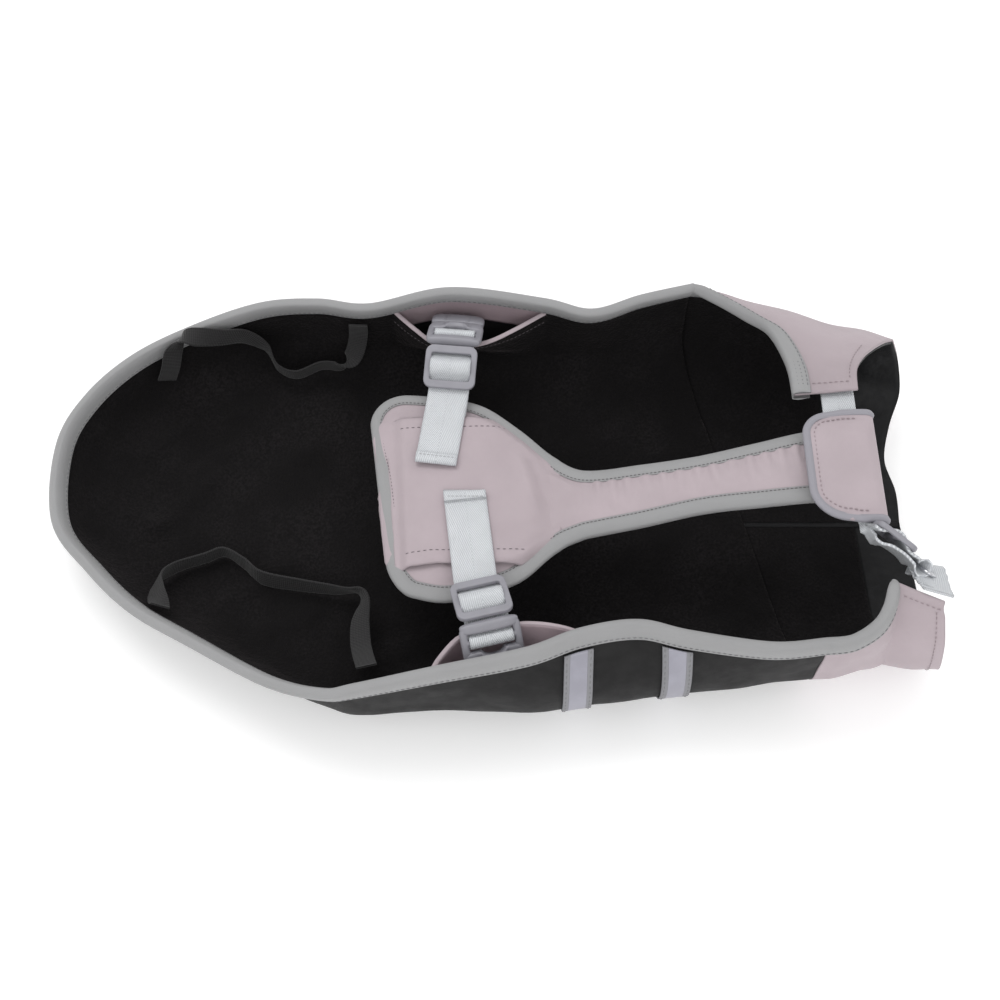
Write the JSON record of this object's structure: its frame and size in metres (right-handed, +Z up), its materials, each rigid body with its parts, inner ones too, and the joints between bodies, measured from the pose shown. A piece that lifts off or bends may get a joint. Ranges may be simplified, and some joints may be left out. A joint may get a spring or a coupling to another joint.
{
  "type": "dog raincoat",
  "caption": "Dog raincoat lying open on its back: fleece-lined body with a bound rim, belly panel with buckled straps, chest strap with a flap, and leg elastics.",
  "frame": {"origin": "middle of the bounding box on the surface that the coat lies on", "axes": "+X toward the neck, +Y toward the flank on the far side, +Z up, away from the surface; the back of the coat is down and the belly side is up"},
  "size_m": [0.541, 0.2728, 0.1065],
  "materials": {
    "binding": "woven binding tape",
    "elastic": "ribbed elastic",
    "fleece": "deep pile fleece",
    "metal": "plated",
    "pink": "matt softshell cloth",
    "piping": "woven piping",
    "plastic": "moulded acetal",
    "reflective": "reflective tape",
    "shell": "matt softshell cloth",
    "webbing": "twill webbing"
  },
  "bodies": {
    "root": {"back_shell": "shell", "shoulder_near": "pink", "shoulder_far": "pink", "lining": "fleece", "pocket_wall_near": "fleece", "pocket_wall_far": "fleece", "shoulder_lining_near": "fleece", "neck_facing_near": "shell", "shoulder_lining_far": "fleece", "neck_facing_far": "shell", "pocket_facing_near": "pink", "pocket_lip_near": "pink", "pocket_facing_far": "pink", "pocket_lip_far": "pink", "edge_binding": "binding", "strip_near_1": "reflective", "strip_near_2": "reflective", "strip_far_1": "reflective", "strip_far_2": "reflective", "belly_panel": "pink", "belly_binding": "binding", "belly_sleeve": "pink", "slider_far": "plastic", "buckle_male_far": "plastic", "buckle_female_far": "plastic", "anchor_far": "webbing", "slider_near": "plastic", "buckle_male_near": "plastic", "buckle_female_near": "plastic", "anchor_near": "webbing", "belly_webbing": "webbing", "chest_flap": "pink", "chest_flap_piping": "piping", "chest_slider": "plastic", "chest_webbing": "webbing", "chest_ring": "metal", "ring_loop": "webbing", "elastic_near": "elastic", "elastic_far": "elastic"}
  },
  "joints": []
}
